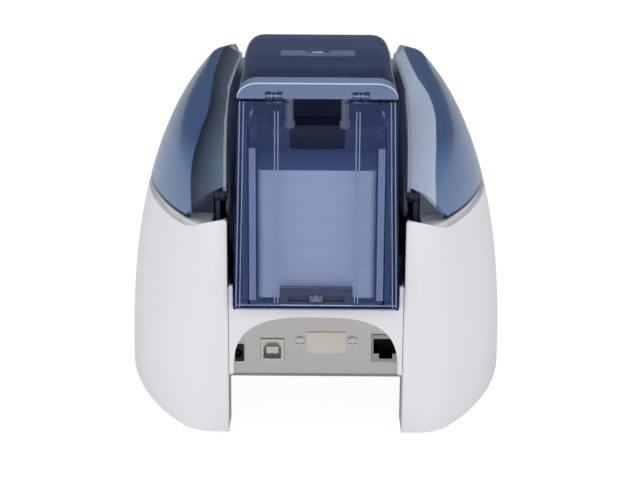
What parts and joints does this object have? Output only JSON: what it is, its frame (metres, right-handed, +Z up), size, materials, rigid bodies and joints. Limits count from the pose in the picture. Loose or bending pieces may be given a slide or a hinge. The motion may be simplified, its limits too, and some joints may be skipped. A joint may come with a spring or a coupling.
{
  "type": "id card printer",
  "caption": "Desktop card printer with a rounded two-tone casing, a hinged clear cover with side wings, a rear card feeder with a lid and a front output tray",
  "frame": {"origin": "on the table, under the middle of the bounding box", "axes": "+X to the left as seen from behind, +Y towards the rear where cards are loaded, +Z up"},
  "size_m": [0.199, 0.37, 0.1773],
  "materials": {
    "zinc_sheet": "zinc-plated sheet",
    "white_abs": "smooth satin white ABS",
    "black_rubber": "matt black rubber",
    "brushed_plate": "brushed steel sheet",
    "port_metal": "tinned sheet",
    "black_plastic": "matt black moulding",
    "beige_blank": "beige blanking plate",
    "bright_steel": "bright steel",
    "green_board": "green solder mask",
    "dark_plastic": "dark moulding",
    "grey_plastic": "light grey satin moulding",
    "black_steel": "black finished steel",
    "clear_blue": "clear blue polycarbonate",
    "smoke_blue": "smoked blue polycarbonate",
    "navy_plastic": "dark blue moulding",
    "white_cards": "blank white PVC cards",
    "button_grey": "grey satin moulding",
    "light_green": "light pipe",
    "brass_gear": "machined brass",
    "cleaning_blue": "tacky blue silicone",
    "ribbon_colour": "dye film on its spools"
  },
  "bodies": {
    "chassis": {"base_plate": "zinc_sheet", "body_shell": "white_abs", "rubber_feet": "black_rubber", "rear_bridge": "white_abs", "connector_plate": "brushed_plate", "usb_port": "port_metal", "ethernet_port": "port_metal", "power_inlet": "black_plastic", "serial_blank": "beige_blank", "serial_screws": "bright_steel", "main_board": "green_board", "board_chips": "black_plastic", "left_side_plate": "zinc_sheet", "right_side_plate": "zinc_sheet", "left_inner_frame": "dark_plastic", "right_inner_frame": "grey_plastic", "hinge_posts": "black_steel", "feeder_body": "clear_blue", "feeder_nose": "grey_plastic", "gauge_scale": "navy_plastic", "card_stack": "white_cards", "lid_pins": "bright_steel", "latch_catch": "zinc_sheet", "front_fascia": "grey_plastic", "status_lights": "light_green", "output_tray": "clear_blue", "feed_motor": "black_steel", "drive_belt": "black_rubber", "main_motor": "black_steel", "ribbon_film": "ribbon_colour", "ribbon_motor": "black_steel"},
    "cover": {"left_wing": "clear_blue", "right_wing": "clear_blue", "cover_spine": "grey_plastic", "cover_arms": "black_steel", "cover_pins": "navy_plastic", "print_head": "port_metal", "head_bracket": "black_steel"},
    "lid": {"feeder_lid": "smoke_blue", "lid_knuckles": "clear_blue"},
    "weight": {"card_weight": "navy_plastic", "weight_posts": "bright_steel"},
    "gauge": {"card_gauge": "white_abs"},
    "cover_button": {"release_button": "button_grey"},
    "latch": {"cover_latch": "button_grey"},
    "front_button": {"control_button": "button_grey"},
    "feed": {"feed_roller": "black_rubber"},
    "feed_drive": {"feed_pinion": "brass_gear"},
    "cleaner": {"cleaning_roller": "cleaning_blue"},
    "platen": {"platen_roller": "black_rubber"},
    "roller_in": {"in_roller": "black_rubber"},
    "roller_out": {"out_roller": "black_rubber"},
    "roller_exit": {"exit_roller": "black_rubber"},
    "pinch_in": {"in_pinch_roller": "bright_steel"},
    "pinch_out": {"out_pinch_roller": "bright_steel"},
    "pinch_exit": {"exit_pinch_roller": "bright_steel"},
    "supply": {"supply_spool": "ribbon_colour"},
    "takeup": {"takeup_spool": "ribbon_colour"},
    "takeup_drive": {"ribbon_pinion": "brass_gear"}
  },
  "joints": [
    {"name": "cover_hinge", "type": "hinge", "parent": "chassis", "child": "cover", "pos_m": [0, 0.169, 0.115], "axis": [-1, 0, 0], "range_deg": [0, 65]},
    {"name": "lid_hinge", "type": "hinge", "parent": "chassis", "child": "lid", "pos_m": [0, 0.1826, 0.1618], "axis": [-1, 0, 0], "range_deg": [0, 80]},
    {"name": "weight_slide", "type": "slide", "parent": "chassis", "child": "weight", "axis": [0, 0, 1], "range_m": [0, 0.006]},
    {"name": "gauge_slide", "type": "slide", "parent": "chassis", "child": "gauge", "axis": [1, 0, 0], "range_m": [-0.009, 0.009]},
    {"name": "cover_button_press", "type": "slide", "parent": "cover", "child": "cover_button", "axis": [0, 0, -1], "range_m": [0, 0.002], "stiffness_N_per_m": 400, "springref_m": -0.001},
    {"name": "latch_turn", "type": "hinge", "parent": "cover", "child": "latch", "pos_m": [0, -0.077, 0.12161], "axis": [-1, 0, 0], "range_deg": [0, 6]},
    {"name": "front_button_press", "type": "slide", "parent": "chassis", "child": "front_button", "axis": [0, 1, 0], "range_m": [0, 0.001], "stiffness_N_per_m": 400, "springref_m": -0.0005},
    {"name": "feed_spin", "type": "hinge", "parent": "chassis", "child": "feed", "pos_m": [0, 0.111, 0.0567], "axis": [1, 0, 0], "continuous": true},
    {"name": "feed_drive_spin", "type": "hinge", "parent": "chassis", "child": "feed_drive", "pos_m": [0, 0.09295, 0.0567], "axis": [1, 0, 0], "continuous": true},
    {"name": "cleaner_spin", "type": "hinge", "parent": "chassis", "child": "cleaner", "pos_m": [0, 0.076, 0.0744], "axis": [1, 0, 0], "continuous": true},
    {"name": "platen_spin", "type": "hinge", "parent": "chassis", "child": "platen", "pos_m": [0, -0.001, 0.06], "axis": [1, 0, 0], "continuous": true},
    {"name": "roller_in_spin", "type": "hinge", "parent": "chassis", "child": "roller_in", "pos_m": [0, 0.051, 0.06], "axis": [1, 0, 0], "continuous": true},
    {"name": "roller_out_spin", "type": "hinge", "parent": "chassis", "child": "roller_out", "pos_m": [0, -0.051, 0.06], "axis": [1, 0, 0], "continuous": true},
    {"name": "roller_exit_spin", "type": "hinge", "parent": "chassis", "child": "roller_exit", "pos_m": [0, -0.091, 0.06], "axis": [1, 0, 0], "continuous": true},
    {"name": "pinch_in_spin", "type": "hinge", "parent": "chassis", "child": "pinch_in", "pos_m": [0, 0.051, 0.0729], "axis": [1, 0, 0], "continuous": true},
    {"name": "pinch_out_spin", "type": "hinge", "parent": "chassis", "child": "pinch_out", "pos_m": [0, -0.051, 0.0729], "axis": [1, 0, 0], "continuous": true},
    {"name": "pinch_exit_spin", "type": "hinge", "parent": "chassis", "child": "pinch_exit", "pos_m": [0, -0.091, 0.0729], "axis": [1, 0, 0], "continuous": true},
    {"name": "supply_spin", "type": "hinge", "parent": "chassis", "child": "supply", "pos_m": [0, 0.035, 0.094], "axis": [1, 0, 0], "continuous": true},
    {"name": "takeup_spin", "type": "hinge", "parent": "chassis", "child": "takeup", "pos_m": [0, -0.037, 0.094], "axis": [1, 0, 0], "continuous": true},
    {"name": "takeup_drive_spin", "type": "hinge", "parent": "chassis", "child": "takeup_drive", "pos_m": [0, -0.04547, 0.07806], "axis": [1, 0, 0], "continuous": true}
  ],
  "couplings": [
    {"joint": "latch_turn", "follows": "cover_button_press", "rad_per_m": 47.6},
    {"joint": "feed_drive_spin", "follows": "feed_spin", "ratio": -2},
    {"joint": "roller_in_spin", "follows": "platen_spin", "ratio": 1},
    {"joint": "roller_out_spin", "follows": "platen_spin", "ratio": 1},
    {"joint": "roller_exit_spin", "follows": "platen_spin", "ratio": 1},
    {"joint": "pinch_in_spin", "follows": "platen_spin", "ratio": -1.4},
    {"joint": "pinch_out_spin", "follows": "platen_spin", "ratio": -1.4},
    {"joint": "pinch_exit_spin", "follows": "platen_spin", "ratio": -1.4},
    {"joint": "cleaner_spin", "follows": "platen_spin", "ratio": -1.0769},
    {"joint": "supply_spin", "follows": "takeup_spin", "ratio": 0.73333},
    {"joint": "takeup_drive_spin", "follows": "takeup_spin", "ratio": -2}
  ]
}
